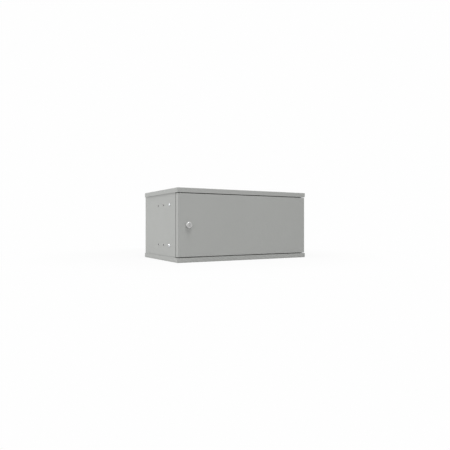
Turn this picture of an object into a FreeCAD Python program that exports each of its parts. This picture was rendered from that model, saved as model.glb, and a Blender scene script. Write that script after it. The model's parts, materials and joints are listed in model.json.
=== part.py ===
import FreeCAD, Part
import math
import os
import Sketcher

# Wall mount network cabinet: 4U of 19 inch rack space behind a solid hinged door.
# X runs to the right, Y to the wall and Z up. The origin is the centre of the face on the wall.

Vector = FreeCAD.Vector
TURN_ABOUT_X = FreeCAD.Rotation(Vector(1, 0, 0), 180)
TURN_ABOUT_Y = FreeCAD.Rotation(Vector(0, 1, 0), 180)
NO_TURN = FreeCAD.Rotation()

# Driving dimensions in millimetres, grouped by piece.
DIMENSIONS = {
    # whole cabinet
    "overall_width": 600,
    "overall_depth": 350,
    "overall_height": 278,
    "bend_radius": 1.8,
    "corner_seam": 0.6,
    # top and bottom covers
    "cover_sheet": 1.2,
    "cover_skirt": 18,
    "cover_stud_front": 60,
    "cover_stud_rear": 290,
    "vent_length": 70,
    "vent_width": 4,
    "vent_pitch": 14,
    "vent_from_front": 160,
    "entry_width": 240,
    "entry_depth": 60,
    "entry_from_wall": 62,
    "entry_corner": 5,
    "entry_plate_lap": 14,
    "entry_plate_sheet": 1.2,
    # side panels
    "side_inset": 3,
    "side_sheet": 1.2,
    "return_width": 25,
    "side_hole": 7,
    "side_hole_row": 78,
    "rail_screw_depth": 80,
    "middle_hole_depth": 143,
    "rear_hole_depth": 197,
    # back panel
    "back_sheet": 1.2,
    "back_flange": 25,
    "back_stud_inset": 14,
    "back_stud_row": 90,
    "flange_clearance": 0.4,
    "keyhole_spread": 240,
    "keyhole_height": 95,
    "keyhole_head": 14,
    "keyhole_neck": 8,
    "keyhole_rise": 14,
    "wall_hole": 9,
    # 19 inch rails
    "rail_sheet": 1.5,
    "rail_height": 190,
    "rack_opening": 450,
    "rack_hole_spread": 465.1,
    "rack_unit": 44.45,
    "rack_unit_end": 6.35,
    "rack_square": 9.5,
    "rail_lip": 15,
    "rail_flange": 30,
    # door
    "door_reveal": 3,
    "door_gap": 2.7,
    "door_depth": 22,
    "door_sheet": 1.2,
    "door_lip": 12,
    "door_stand_off": 3,
    "bumper_across": 9,
    "bumper_neck": 4,
    "bumper_barb": 6,
    "bumper_barb_length": 2.5,
    "bumper_inset": 7,
    "bumper_row": 100,
    # hinges
    "hinge_from_side": 8,
    "hinge_from_front": 9,
    "pin_across": 6,
    "pin_clearance": 0.08,
    "pin_reach": 2.2,
    "pin_bend": 7,
    "pin_handle": 20,
    "pin_tail": 10,
    "pin_bracket_height": 45,
    "pin_bracket_width": 14,
    "pin_bracket_leg": 14,
    "pin_bracket_sheet": 1.5,
    "clip_across": 10,
    "clip_groove": 4.6,
    "clip_sheet": 0.9,
    "spring_across": 9,
    "spring_wire": 1,
    "hinge_sheet": 2,
    "hinge_width": 13,
    "hinge_web_offset": 12,
    "hinge_foot": 26,
    # cam lock
    "lock_from_side": 45,
    "lock_head": 24,
    "lock_protrusion": 9,
    "lock_rim_radius": 2.6,
    "lock_barrel": 18,
    "lock_flats": 16,
    "lock_nut_flats": 23,
    "lock_nut_height": 3.5,
    "lock_washer_across": 24,
    "lock_washer_sheet": 1,
    "rotor_across": 12.4,
    "rotor_clearance": 0.06,
    "rotor_recess": 0.6,
    "keyway_length": 7,
    "keyway_width": 1.6,
    "keyway_depth": 16,
    "rotor_square": 7,
    "cam_sheet": 2.5,
    "cam_hub": 18,
    "cam_width": 14,
    "cam_reach": 31,
    "cam_clearance": 0.8,
    # fasteners
    "stud_across": 5,
    "stud_length": 8.5,
    "stud_hole": 6,
    "thread_clearance": 0.06,
    "nut_flats": 8,
    "nut_flange": 11.4,
    "nut_flange_sheet": 1.2,
    "nut_height": 5,
    "rail_bolt": 5,
    "rail_bolt_length": 10,
    "rail_bolt_head": 10,
    "rail_bolt_head_height": 3.8,
    "rail_nut_flats": 8,
    "rail_nut_flange": 11.8,
    "rail_nut_height": 5,
    "small_screw": 4,
    "small_screw_head": 8,
    "small_screw_head_height": 2.6,
    "small_screw_recess": 1.3,
    "cross_recess_width": 1.2,
    "cam_screw_length": 8,
    "cam_washer_across": 12,
    "cam_washer_sheet": 1,
    "earth_stud": 6,
    "earth_stud_length": 15,
    "earth_nut_flats": 10,
    "earth_nut_flange": 14,
    "earth_nut_height": 6,
    "earth_washer_across": 12,
    "earth_washer_sheet": 1.6,
    "earth_from_side": 60,
    "earth_from_floor": 40,
}

RACK_UNITS = 4
HOLES_PER_UNIT = 3
VENT_COUNT = 15
SPRING_TURNS = 8
SPRING_STEPS = 12

doc = FreeCAD.newDocument("wall_cabinet")
sheet = doc.addObject("Spreadsheet::Sheet", "sizes")
for row, (alias, number) in enumerate(DIMENSIONS.items(), start=1):
    sheet.set("A%d" % row, alias.replace("_", " "))
    sheet.set("B%d" % row, str(number))
    sheet.setAlias("B%d" % row, alias)
doc.recompute()


class Size:
    """A length that carries its number and the sheet expression that gives it."""

    def __init__(self, text, number):
        self.text = text
        self.number = number

    def joined(self, sign, other, number, turned=False):
        first, second = (text_of(other), self.text) if turned else (self.text, text_of(other))
        return Size("(%s %s %s)" % (first, sign, second), number)

    def __add__(self, other):
        return self.joined("+", other, self.number + number_of(other))

    def __radd__(self, other):
        return self.joined("+", other, number_of(other) + self.number, turned=True)

    def __sub__(self, other):
        return self.joined("-", other, self.number - number_of(other))

    def __rsub__(self, other):
        return self.joined("-", other, number_of(other) - self.number, turned=True)

    def __mul__(self, other):
        return self.joined("*", other, self.number * number_of(other))

    def __rmul__(self, other):
        return self.joined("*", other, number_of(other) * self.number, turned=True)

    def __truediv__(self, other):
        return self.joined("/", other, self.number / number_of(other))

    def __neg__(self):
        return Size("(0 - %s)" % self.text, -self.number)


def number_of(value):
    return value.number if isinstance(value, Size) else float(value)


def text_of(value):
    return value.text if isinstance(value, Size) else "(%.9f)" % value


def size(alias):
    return Size("sizes." + alias, float(sheet.get(alias)))


# ---------------------------------------------------------------- modelling steps

PIECES = {}


def new_body(name):
    body = doc.addObject("PartDesign::Body", name)
    body.Label = name
    return body


def new_piece(name):
    PIECES[name] = new_body(name)
    return PIECES[name]


def put(body, x=0, y=0, z=0, turn=NO_TURN):
    """Places a body, with the sizes that give the place bound to it."""
    places = (number_of(x), number_of(y), number_of(z))
    body.Placement = FreeCAD.Placement(Vector(*places), turn)
    for axis, value in zip("xyz", (x, y, z)):
        if isinstance(value, Size):
            body.setExpression(".Placement.Base." + axis, value.text)


def new_sketch(body, name, plane, level=0):
    """A sketch on one of the body's own planes: its across and up axes are the plane's letters."""
    sketch = body.newObject("Sketcher::SketchObject", name)
    role = plane + "_Plane"
    base = [feature for feature in body.Origin.OriginFeatures if feature.Role == role][0]
    sketch.AttachmentSupport = [(base, "")]
    sketch.MapMode = "FlatFace"
    shift = -level if plane == "XZ" else level
    sketch.AttachmentOffset = FreeCAD.Placement(Vector(0, 0, number_of(shift)), NO_TURN)
    if isinstance(shift, Size):
        sketch.setExpression("AttachmentOffset.Base.z", shift.text)
    return sketch


def hold(sketch, kind, *arguments):
    """Adds a dimension whose last argument is its size."""
    value = arguments[-1]
    index = sketch.addConstraint(Sketcher.Constraint(kind, *arguments[:-1], number_of(value)))
    if isinstance(value, Size):
        sketch.setExpression("Constraints[%d]" % index, value.text)


def draw_polygon(sketch, points):
    first = sketch.GeometryCount
    spots = [Vector(number_of(across), number_of(up), 0) for across, up in points]
    for index, spot in enumerate(spots):
        sketch.addGeometry(Part.LineSegment(spot, spots[(index + 1) % len(spots)]), False)
    for index, (across, up) in enumerate(points):
        following = (index + 1) % len(points)
        sketch.addConstraint(Sketcher.Constraint("Coincident", first + index, 2, first + following, 1))
        hold(sketch, "DistanceX", first + index, 1, across)
        hold(sketch, "DistanceY", first + index, 1, up)


def draw_rectangle(sketch, left, right, low, high):
    draw_polygon(sketch, [(left, low), (right, low), (right, high), (left, high)])


def draw_hexagon(sketch, flats):
    """A hexagon around the sketch's origin, measured across its flats."""
    corner = flats / math.sqrt(3)
    angles = [math.radians(60 * step) for step in range(6)]
    draw_polygon(sketch, [(corner * math.cos(angle), corner * math.sin(angle)) for angle in angles])


def draw_circle(sketch, across, up, radius):
    centre = Vector(number_of(across), number_of(up), 0)
    index = sketch.addGeometry(Part.Circle(centre, Vector(0, 0, 1), number_of(radius)), False)
    hold(sketch, "Radius", index, radius)
    hold(sketch, "DistanceX", index, 3, across)
    hold(sketch, "DistanceY", index, 3, up)


def draw_arc_pair(sketch, ends, centres, radius, held_axis):
    """Two lines joined by two arcs: ends holds the lines' four points in turn.

    held_axis names the coordinates of the ends that are dimensioned, X, Y or XY."""
    spots = [Vector(number_of(across), number_of(up), 0) for across, up in ends]
    hubs = [Vector(number_of(across), number_of(up), 0) for across, up in centres]
    reach = number_of(radius)
    first = sketch.GeometryCount
    for start, hub in ((0, hubs[0]), (2, hubs[1])):
        leave, arrive = spots[start + 1], spots[(start + 2) % 4]
        sketch.addGeometry(Part.LineSegment(spots[start], leave), False)
        angles = [math.atan2(spot.y - hub.y, spot.x - hub.x) for spot in (leave, arrive)]
        circle = Part.Circle(hub, Vector(0, 0, 1), reach)
        sketch.addGeometry(Part.ArcOfCircle(circle, angles[0], angles[1]), False)
    for index in range(4):
        following = first + (index + 1) % 4
        sketch.addConstraint(Sketcher.Constraint("Coincident", first + index, 2, following, 1))
    for line, (start, end) in ((first, ends[0:2]), (first + 2, ends[2:4])):
        for point, (across, up) in ((1, start), (2, end)):
            if "X" in held_axis:
                hold(sketch, "DistanceX", line, point, across)
            if "Y" in held_axis:
                hold(sketch, "DistanceY", line, point, up)
    return first


def draw_slot(sketch, across, up, length, width, upright=False):
    """A slot with round ends, length end to end, along the sketch's across or up axis."""
    half = width / 2
    run = length / 2 - half
    if upright:
        ends = [(across + half, up - run), (across + half, up + run),
                (across - half, up + run), (across - half, up - run)]
        centres = [(across, up + run), (across, up - run)]
    else:
        ends = [(across - run, up - half), (across + run, up - half),
                (across + run, up + half), (across - run, up + half)]
        centres = [(across + run, up), (across - run, up)]
    first = draw_arc_pair(sketch, ends, centres, half, "XY")
    for arc, centre in zip((first + 1, first + 3), centres):
        if upright:
            hold(sketch, "DistanceY", arc, 3, centre[1])
        else:
            hold(sketch, "DistanceX", arc, 3, centre[0])


def draw_flatted_circle(sketch, across, up, diameter, flats):
    """A circle with a flat above and below, as on a lock barrel."""
    radius = diameter / 2
    half = flats / 2
    chord = math.sqrt(number_of(radius) ** 2 - number_of(half) ** 2)
    ends = [(number_of(across) - chord, up - half), (number_of(across) + chord, up - half),
            (number_of(across) + chord, up + half), (number_of(across) - chord, up + half)]
    first = draw_arc_pair(sketch, ends, [(across, up), (across, up)], radius, "Y")
    for arc in (first + 1, first + 3):
        hold(sketch, "DistanceX", arc, 3, across)
        hold(sketch, "DistanceY", arc, 3, up)
        hold(sketch, "Radius", arc, radius)


def extrude(body, name, plane, low, high, draw, cut=False):
    """Pads or pockets what draw puts on a sketch, between two levels across the plane."""
    before = body.Shape.Volume if body.Tip else 0
    sketch = new_sketch(body, name + "_sketch", plane, high if plane == "XZ" else low)
    draw(sketch)
    feature = body.newObject("PartDesign::Pocket" if cut else "PartDesign::Pad", name)
    feature.Profile = sketch
    feature.Reversed = cut
    feature.setExpression("Length", text_of(high - low))
    doc.recompute()
    after = body.Shape.Volume
    if (after >= before) if cut else (after <= before):
        raise RuntimeError("%s changes nothing on %s" % (name, body.Name))
    return feature


def pad(body, name, plane, low, high, draw):
    return extrude(body, name, plane, low, high, draw)


def pocket(body, name, plane, low, high, draw):
    return extrude(body, name, plane, low, high, draw, cut=True)


def revolve(body, name, points, cut=False):
    """Turns a profile of (radius, height) points about the body's Z axis."""
    sketch = new_sketch(body, name + "_sketch", "XZ")
    draw_polygon(sketch, points)
    feature = body.newObject("PartDesign::Groove" if cut else "PartDesign::Revolution", name)
    feature.Profile = sketch
    feature.ReferenceAxis = (sketch, ["V_Axis"])
    feature.Angle = 360
    doc.recompute()
    return feature


def edges_at(body, wanted):
    """Names of the body's edges whose middle point passes the test."""
    names = []
    for index, edge in enumerate(body.Shape.Edges, start=1):
        middle = edge.valueAt((edge.FirstParameter + edge.LastParameter) / 2)
        if wanted(edge, middle):
            names.append("Edge%d" % index)
    if not names:
        raise RuntimeError("no edge found on " + body.Name)
    return names


def near(first, second, slack=0.01):
    return abs(number_of(first) - number_of(second)) < slack


def round_edges(body, name, radius, wanted):
    base, names = body.Tip, edges_at(body, wanted)
    feature = body.newObject("PartDesign::Fillet", name)
    feature.Base = (base, names)
    feature.setExpression("Radius", text_of(radius))
    doc.recompute()


def bevel_edges(body, name, width, wanted):
    base, names = body.Tip, edges_at(body, wanted)
    feature = body.newObject("PartDesign::Chamfer", name)
    feature.Base = (base, names)
    feature.setExpression("Size", text_of(width))
    doc.recompute()


def fold_tray(body, name, wall, open_faces):
    """Hollows a block into folded sheet of one thickness, open at the faces that pass the test."""
    faces = ["Face%d" % index for index, face in enumerate(body.Shape.Faces, start=1)
             if open_faces(face.CenterOfMass)]
    base = body.Tip
    feature = body.newObject("PartDesign::Thickness", name)
    feature.Base = (base, faces)
    feature.setExpression("Value", text_of(wall))
    feature.Reversed = True
    doc.recompute()


def repeat(body, name, feature, sketch_axis, count, pitch):
    """Repeats a feature along an axis of its own sketch."""
    pattern = body.newObject("PartDesign::LinearPattern", name)
    pattern.Originals = [feature]
    pattern.Direction = (feature.Profile[0], [sketch_axis])
    pattern.Mode = "Spacing"
    pattern.Occurrences = count
    pattern.setExpression("Offset", text_of(pitch))
    body.Tip = pattern
    doc.recompute()


def new_group(name, master, places):
    """Separate copies of one fastener, each turned so that its Z axis runs along the direction."""
    solids = []
    for spot, direction in places:
        solid = master.Shape.copy()
        turn = FreeCAD.Rotation(Vector(0, 0, 1), Vector(*direction))
        solid.Placement = FreeCAD.Placement(Vector(*[number_of(value) for value in spot]), turn)
        solids.append(solid)
    group = doc.addObject("Part::Feature", name)
    group.Label = name
    group.Shape = Part.makeCompound(solids) if len(solids) > 1 else solids[0]
    PIECES[name] = group


# ---------------------------------------------------------------- shared places

class Sizes:
    """Every driving dimension by its name."""


s = Sizes()
for alias in DIMENSIONS:
    setattr(s, alias, size(alias))

half_width = s.overall_width / 2
half_height = s.overall_height / 2
front = -s.overall_depth
inner_half_height = half_height - s.cover_sheet
side_face = half_width - s.side_inset
side_inner = side_face - s.side_sheet
frame_front = front + s.door_depth + s.door_stand_off
door_half_height = half_height - s.cover_skirt - s.door_gap
door_half_width = half_width - s.door_reveal
hinge_x = door_half_width - s.hinge_from_side
hinge_y = front + s.hinge_from_front
skirt_edge = half_height - s.cover_skirt
rail_front = front + s.rail_screw_depth - s.rail_flange / 2
lock_x = s.lock_from_side - half_width
barrel_length = s.door_depth + s.door_stand_off + s.side_sheet + s.cam_clearance
stud_radius = s.stud_across / 2
pin_radius = s.pin_across / 2
bracket_middle = door_half_height - s.door_sheet - s.pin_bracket_height / 2
return_middle = (s.return_width + s.side_sheet) / 2
cover_stud_x = side_face - return_middle


def cover_studs():
    """Places of a cover's studs, over the folded returns of both side panels."""
    return [(side * cover_stud_x, front + along)
            for side in (-1, 1) for along in (s.cover_stud_front, s.cover_stud_rear)]


# ---------------------------------------------------------------- covers

def make_cover(name, level, turn):
    """A sheet pan whose skirt hangs down from its outer face at height 0."""
    body = new_piece(name)
    under = -s.cover_sheet
    pad(body, "block", "XY", -s.cover_skirt, 0,
        lambda k: draw_rectangle(k, -half_width, half_width, front, 0))

    def is_bend(edge, middle):
        return near(middle.z, 0) and not near(middle.y, 0)

    round_edges(body, "bends", s.bend_radius, is_bend)
    fold_tray(body, "folded_sheet", s.cover_sheet,
              lambda spot: near(spot.z, -s.cover_skirt) or near(spot.y, 0))

    def draw_seams(k):
        start = front + s.cover_sheet
        for side in (-1, 1):
            outer, inner = half_width + s.cover_sheet, half_width - 2 * s.cover_sheet
            draw_rectangle(k, side * outer, side * inner, start, start + s.corner_seam)

    pocket(body, "corner_seams", "XY", -s.cover_skirt, -s.bend_radius, draw_seams)

    entry_middle = -s.entry_from_wall

    def draw_entry(k):
        draw_rectangle(k, -s.entry_width / 2, s.entry_width / 2,
                       entry_middle - s.entry_depth / 2, entry_middle + s.entry_depth / 2)

    pocket(body, "cable_entry", "XY", under, 0, draw_entry)
    round_edges(body, "entry_corners", s.entry_corner,
                lambda edge, middle: near(abs(middle.x), s.entry_width / 2) and near(middle.z, under / 2)
                and near(abs(middle.y - entry_middle.number), s.entry_depth / 2))
    pocket(body, "entry_screw_holes", "XY", under, 0,
           lambda k: [draw_circle(k, across, up, s.small_screw / 2 + s.thread_clearance)
                      for across, up in entry_screws()])
    first_vent = -(VENT_COUNT - 1) / 2 * s.vent_pitch
    vent_middle = front + s.vent_from_front
    vent = pocket(body, "vent", "XY", under, 0,
                  lambda k: draw_rectangle(k, first_vent - s.vent_width / 2, first_vent + s.vent_width / 2,
                                           vent_middle - s.vent_length / 2, vent_middle + s.vent_length / 2))
    repeat(body, "vents", vent, "H_Axis", VENT_COUNT, s.vent_pitch)
    pad(body, "studs", "XY", under - s.stud_length, under,
        lambda k: [draw_circle(k, across, up, stud_radius) for across, up in cover_studs()])
    put(body, z=level, turn=turn)


def entry_screws():
    """Places of the screws at the two ends of a cable entry plate."""
    across = s.entry_width / 2 + s.entry_plate_lap / 2
    return [(side * across, -s.entry_from_wall) for side in (-1, 1)]


def make_entry_plate(name, level, turn):
    """The blank plate that closes a cable entry from inside; its outer face is at height 0."""
    body = new_piece(name)
    half = s.entry_width / 2 + s.entry_plate_lap
    deep = s.entry_depth / 2 + s.entry_plate_lap / 2
    middle = -s.entry_from_wall
    pad(body, "plate", "XY", -s.entry_plate_sheet, 0,
        lambda k: draw_rectangle(k, -half, half, middle - deep, middle + deep))
    round_edges(body, "corners", s.entry_corner,
                lambda edge, spot: near(spot.z, -s.entry_plate_sheet / 2))
    pocket(body, "screw_holes", "XY", -s.entry_plate_sheet, 0,
           lambda k: [draw_circle(k, across, up, s.small_screw / 2 + s.thread_clearance)
                      for across, up in entry_screws()])
    put(body, z=level, turn=turn)


make_cover("top_cover", half_height, NO_TURN)
make_cover("bottom_cover", -half_height, TURN_ABOUT_Y)
make_entry_plate("top_entry_plate", inner_half_height, NO_TURN)
make_entry_plate("bottom_entry_plate", -inner_half_height, TURN_ABOUT_Y)


# ---------------------------------------------------------------- side and back panels

def make_side_panel(name, has_bumpers):
    """A side with folded returns, from its outer face at 0 inwards along X."""
    body = new_piece(name)
    wall = s.side_sheet
    pad(body, "block", "YZ", 0, s.return_width,
        lambda k: draw_rectangle(k, frame_front, 0, -inner_half_height, inner_half_height))
    round_edges(body, "bends", s.bend_radius,
                lambda edge, middle: near(middle.x, 0) and not near(middle.y, 0))
    fold_tray(body, "folded_sheet", wall,
              lambda spot: near(spot.x, s.return_width) or near(spot.y, 0))

    def draw_seams(k):
        start = frame_front + wall
        for end in (-1, 1):
            draw_rectangle(k, start, start + s.corner_seam,
                           end * (inner_half_height + wall), end * (inner_half_height - 2 * wall))

    pocket(body, "corner_seams", "YZ", s.bend_radius, s.return_width + wall, draw_seams)

    def draw_rail_holes(k):
        for depth in (s.rail_screw_depth, s.middle_hole_depth, s.rear_hole_depth):
            for end in (-1, 1):
                draw_circle(k, front + depth, end * s.side_hole_row, s.side_hole / 2)

    pocket(body, "rail_holes", "YZ", 0, wall, draw_rail_holes)
    pocket(body, "cover_holes", "XY", -half_height, half_height,
           lambda k: [draw_circle(k, return_middle, front + along, s.stud_hole / 2)
                      for along in (s.cover_stud_front, s.cover_stud_rear)])
    if has_bumpers:
        pocket(body, "bumper_holes", "XZ", frame_front, frame_front + wall,
               lambda k: [draw_circle(k, s.bumper_inset, end * s.bumper_row,
                                      s.bumper_neck / 2 + s.thread_clearance) for end in (-1, 1)])
    pad(body, "back_studs", "YZ", wall, wall + s.stud_length,
        lambda k: [draw_circle(k, -s.back_stud_inset, end * s.back_stud_row, stud_radius)
                   for end in (-1, 1)])


def make_back_panel():
    body = new_piece("back_panel")
    wall = s.back_sheet
    pad(body, "block", "XZ", -s.back_flange, 0,
        lambda k: draw_rectangle(k, -side_inner, side_inner, -inner_half_height, inner_half_height))
    round_edges(body, "bends", s.bend_radius, lambda edge, middle: near(middle.y, 0))
    fold_tray(body, "folded_sheet", wall, lambda spot: near(spot.y, -s.back_flange))

    def draw_notches(k):
        inner = side_face - s.return_width - s.flange_clearance
        low = inner_half_height - s.bend_radius - s.flange_clearance
        for side in (-1, 1):
            for end in (-1, 1):
                draw_rectangle(k, side * inner, side * (side_inner + wall),
                               end * low, end * (inner_half_height + wall))

    pocket(body, "corner_notches", "XZ", -s.back_flange - wall, wall, draw_notches)
    pocket(body, "side_holes", "YZ", -half_width, half_width,
           lambda k: [draw_circle(k, -s.back_stud_inset, end * s.back_stud_row, s.stud_hole / 2)
                      for end in (-1, 1)])
    places = [side * s.keyhole_spread for side in (-1, 1)]
    pocket(body, "keyhole_heads", "XZ", -wall, 0,
           lambda k: [draw_circle(k, across, s.keyhole_height, s.keyhole_head / 2) for across in places])
    neck_length = s.keyhole_rise + s.keyhole_neck / 2
    pocket(body, "keyhole_necks", "XZ", -wall, 0,
           lambda k: [draw_slot(k, across, s.keyhole_height + neck_length / 2, neck_length,
                                s.keyhole_neck, upright=True) for across in places])
    pocket(body, "lower_wall_holes", "XZ", -wall, 0,
           lambda k: [draw_circle(k, across, -s.keyhole_height, s.wall_hole / 2) for across in places])
    pad(body, "earth_stud", "XZ", -wall - s.earth_stud_length, -wall,
        lambda k: draw_circle(k, earth_x, earth_z, s.earth_stud / 2))


earth_x = s.earth_from_side - half_width
earth_z = s.earth_from_floor - half_height

make_side_panel("left_side_panel", True)
put(PIECES["left_side_panel"], x=-side_face)
make_side_panel("right_side_panel", False)
put(PIECES["right_side_panel"], x=side_face, turn=TURN_ABOUT_Y)
make_back_panel()


# ---------------------------------------------------------------- 19 inch rails

def make_rail(name, across, turn):
    """A rail from the side panel's inner face at 0 to the rack opening, its face at Y 0."""
    body = new_piece(name)
    wall = s.rail_sheet
    reach = side_inner - s.rack_opening / 2
    half = s.rail_height / 2
    profile = [(0, 0), (reach, 0), (reach, s.rail_lip), (reach - wall, s.rail_lip), (reach - wall, wall),
               (wall, wall), (wall, s.rail_flange), (0, s.rail_flange)]
    pad(body, "profile", "XY", -half, half, lambda k: draw_polygon(k, profile))
    round_edges(body, "bends", s.bend_radius,
                lambda edge, middle: near(middle.z, 0) and near(middle.y, 0))
    square_x = side_inner - s.rack_hole_spread / 2
    lowest = -RACK_UNITS / 2 * s.rack_unit + s.rack_unit_end
    step = s.rack_unit / 2 - s.rack_unit_end

    def draw_unit(k):
        for number in range(HOLES_PER_UNIT):
            middle = lowest + number * step
            draw_rectangle(k, square_x - s.rack_square / 2, square_x + s.rack_square / 2,
                           middle - s.rack_square / 2, middle + s.rack_square / 2)

    unit = pocket(body, "rack_unit_holes", "XZ", 0, wall, draw_unit)
    repeat(body, "rack_holes", unit, "V_Axis", RACK_UNITS, s.rack_unit)
    pocket(body, "side_holes", "YZ", 0, wall,
           lambda k: [draw_circle(k, s.rail_flange / 2, end * s.side_hole_row, s.side_hole / 2)
                      for end in (-1, 1)])
    put(body, x=across, y=rail_front, turn=turn)


make_rail("left_rack_rail", -side_inner, NO_TURN)
make_rail("right_rack_rail", side_inner, TURN_ABOUT_Y)


# ---------------------------------------------------------------- door

def make_door():
    body = new_piece("door")
    wall = s.door_sheet
    rear = front + s.door_depth
    pad(body, "block", "XZ", front, rear,
        lambda k: draw_rectangle(k, -door_half_width, door_half_width,
                                 -door_half_height, door_half_height))
    round_edges(body, "bends", s.bend_radius, lambda edge, middle: near(middle.y, front))
    fold_tray(body, "folded_sheet", wall, lambda spot: near(spot.y, rear))

    def draw_lip(k):
        draw_rectangle(k, -door_half_width, door_half_width, -door_half_height, door_half_height)
        across, up = door_half_width - s.door_lip, door_half_height - s.door_lip
        draw_rectangle(k, -across, across, -up, up)

    pad(body, "lip", "XZ", rear - wall, rear, draw_lip)
    pocket(body, "lock_hole", "XZ", front, front + wall,
           lambda k: draw_flatted_circle(k, lock_x, 0, s.lock_barrel + 2 * s.rotor_clearance,
                                         s.lock_flats + 2 * s.rotor_clearance))
    pocket(body, "hinge_pin_holes", "XY", -door_half_height, door_half_height,
           lambda k: draw_circle(k, hinge_x, hinge_y, pin_radius + s.pin_clearance))
    pad(body, "earth_stud", "XZ", front + wall, front + wall + s.earth_stud_length,
        lambda k: draw_circle(k, -earth_x, earth_z + s.earth_from_floor, s.earth_stud / 2))


def make_bumpers():
    """Rubber buttons pushed into the left return, which the closed door rests on."""
    master = new_body("bumper_master")
    head, neck, barb = s.bumper_across / 2, s.bumper_neck / 2, s.bumper_barb / 2
    behind = -s.side_sheet
    end = behind - s.bumper_barb_length
    revolve(master, "turned", [(0, end), (neck, end), (barb, behind), (neck, behind), (neck, 0),
                               (head, 0), (head, s.door_stand_off), (0, s.door_stand_off)])
    across = s.bumper_inset - side_face
    new_group("door_bumpers", master, [((across, frame_front, end_side * s.bumper_row), (0, -1, 0))
                                       for end_side in (-1, 1)])


make_door()
make_bumpers()


# ---------------------------------------------------------------- hinges

def make_hinge_bracket(name, level, turn):
    """A cranked bracket welded under a cover: its leaf carries the pin, whose axis is at 0, 0."""
    body = new_piece(name)
    wall = s.hinge_sheet
    top = s.cover_skirt - s.cover_sheet
    web = -s.hinge_web_offset
    end = web - s.hinge_foot
    tip = s.hinge_from_side - s.flange_clearance
    profile = [(tip, 0), (tip, wall), (web, wall), (web, top), (end, top), (end, top - wall),
               (web - wall, top - wall), (web - wall, 0)]
    pad(body, "profile", "XZ", -s.hinge_width / 2, s.hinge_width / 2, lambda k: draw_polygon(k, profile))
    round_edges(body, "bends", s.bend_radius,
                lambda edge, middle: near(middle.y, 0) and (
                    (near(middle.x, web) and near(middle.z, top))
                    or (near(middle.x, web - wall) and near(middle.z, 0))))
    pocket(body, "pin_hole", "XY", 0, wall,
           lambda k: draw_circle(k, 0, 0, pin_radius + s.pin_clearance))
    put(body, x=hinge_x, y=hinge_y, z=level, turn=turn)


def make_pin_bracket(name, level):
    """A U bracket inside the door; the pin slides through its two legs at 0, 0."""
    body = new_piece(name)
    wall = s.pin_bracket_sheet
    half = s.pin_bracket_height / 2
    web = s.door_sheet - s.hinge_from_front
    tip = web + s.pin_bracket_leg
    profile = [(web, -half), (tip, -half), (tip, wall - half), (web + wall, wall - half),
               (web + wall, half - wall), (tip, half - wall), (tip, half), (web, half)]
    right = s.hinge_from_side - s.bend_radius - s.flange_clearance
    pad(body, "profile", "YZ", right - s.pin_bracket_width, right, lambda k: draw_polygon(k, profile))
    round_edges(body, "bends", s.bend_radius,
                lambda edge, middle: near(middle.y, web) and near(abs(middle.z), half))
    pocket(body, "pin_holes", "XY", -half, half,
           lambda k: draw_circle(k, 0, 0, pin_radius + s.pin_clearance))
    put(body, x=hinge_x, y=hinge_y, z=level)


collar_level = s.pin_bracket_height / 2 - s.pin_bracket_sheet


def make_hinge_pin(name, level, turn):
    """A sprung pin with a bent handle; height 0 is the middle of its U bracket."""
    body = new_piece(name)
    top = s.pin_bracket_height / 2 + s.door_sheet + s.door_gap + s.hinge_sheet + s.pin_reach
    straight_end = -s.pin_bracket_height / 2 - s.pin_tail
    spine = new_sketch(body, "spine", "XZ")
    high, low, bend = top.number, straight_end.number, s.pin_bend.number
    spine.addGeometry(Part.LineSegment(Vector(0, high, 0), Vector(0, low, 0)), False)
    hub = Part.Circle(Vector(-bend, low, 0), Vector(0, 0, 1), bend)
    spine.addGeometry(Part.ArcOfCircle(hub, -math.pi / 2, 0), False)
    spine.addGeometry(Part.LineSegment(Vector(-bend, low - bend, 0),
                                       Vector(-s.pin_handle.number, low - bend, 0)), False)
    spine.addConstraint(Sketcher.Constraint("Tangent", 0, 2, 1, 2))
    spine.addConstraint(Sketcher.Constraint("Tangent", 1, 1, 2, 1))
    spine.addConstraint(Sketcher.Constraint("Vertical", 0))
    spine.addConstraint(Sketcher.Constraint("Horizontal", 2))
    hold(spine, "DistanceX", 0, 1, 0)
    hold(spine, "DistanceY", 0, 1, top)
    hold(spine, "DistanceY", 0, 2, straight_end)
    hold(spine, "Radius", 1, s.pin_bend)
    hold(spine, "DistanceX", 2, 2, -s.pin_handle)
    section = new_sketch(body, "section", "XY", top)
    draw_circle(section, 0, 0, pin_radius)
    pipe = body.newObject("PartDesign::AdditivePipe", "bent_rod")
    pipe.Profile = section
    pipe.Spine = (spine, ["Edge1", "Edge2", "Edge3"])
    doc.recompute()
    bevel_edges(body, "tip", pin_radius / 4, lambda edge, middle: near(middle.z, top))
    groove_top = collar_level
    groove_low = collar_level - s.clip_sheet
    revolve(body, "clip_groove", [(s.clip_groove / 2, groove_low), (s.pin_across, groove_low),
                                  (s.pin_across, groove_top), (s.clip_groove / 2, groove_top)], cut=True)
    put(body, x=hinge_x, y=hinge_y, z=level, turn=turn)


def make_pin_clip(name, level, turn):
    """The snap ring in the pin's groove that the spring pushes on."""
    body = new_piece(name)
    gap = s.thread_clearance
    low = collar_level - s.clip_sheet + gap / 2
    high = collar_level - gap / 2
    pad(body, "ring", "XY", low, high, lambda k: draw_circle(k, 0, 0, s.clip_across / 2))
    mouth = s.clip_groove / 2 - s.clip_groove / 12

    def draw_mouth(k):
        draw_rectangle(k, -mouth, mouth, 0, s.clip_across)

    pocket(body, "bore", "XY", low, high, lambda k: draw_circle(k, 0, 0, s.clip_groove / 2 + gap))
    pocket(body, "mouth", "XY", low, high, draw_mouth)
    put(body, x=hinge_x, y=hinge_y, z=level, turn=turn)


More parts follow.
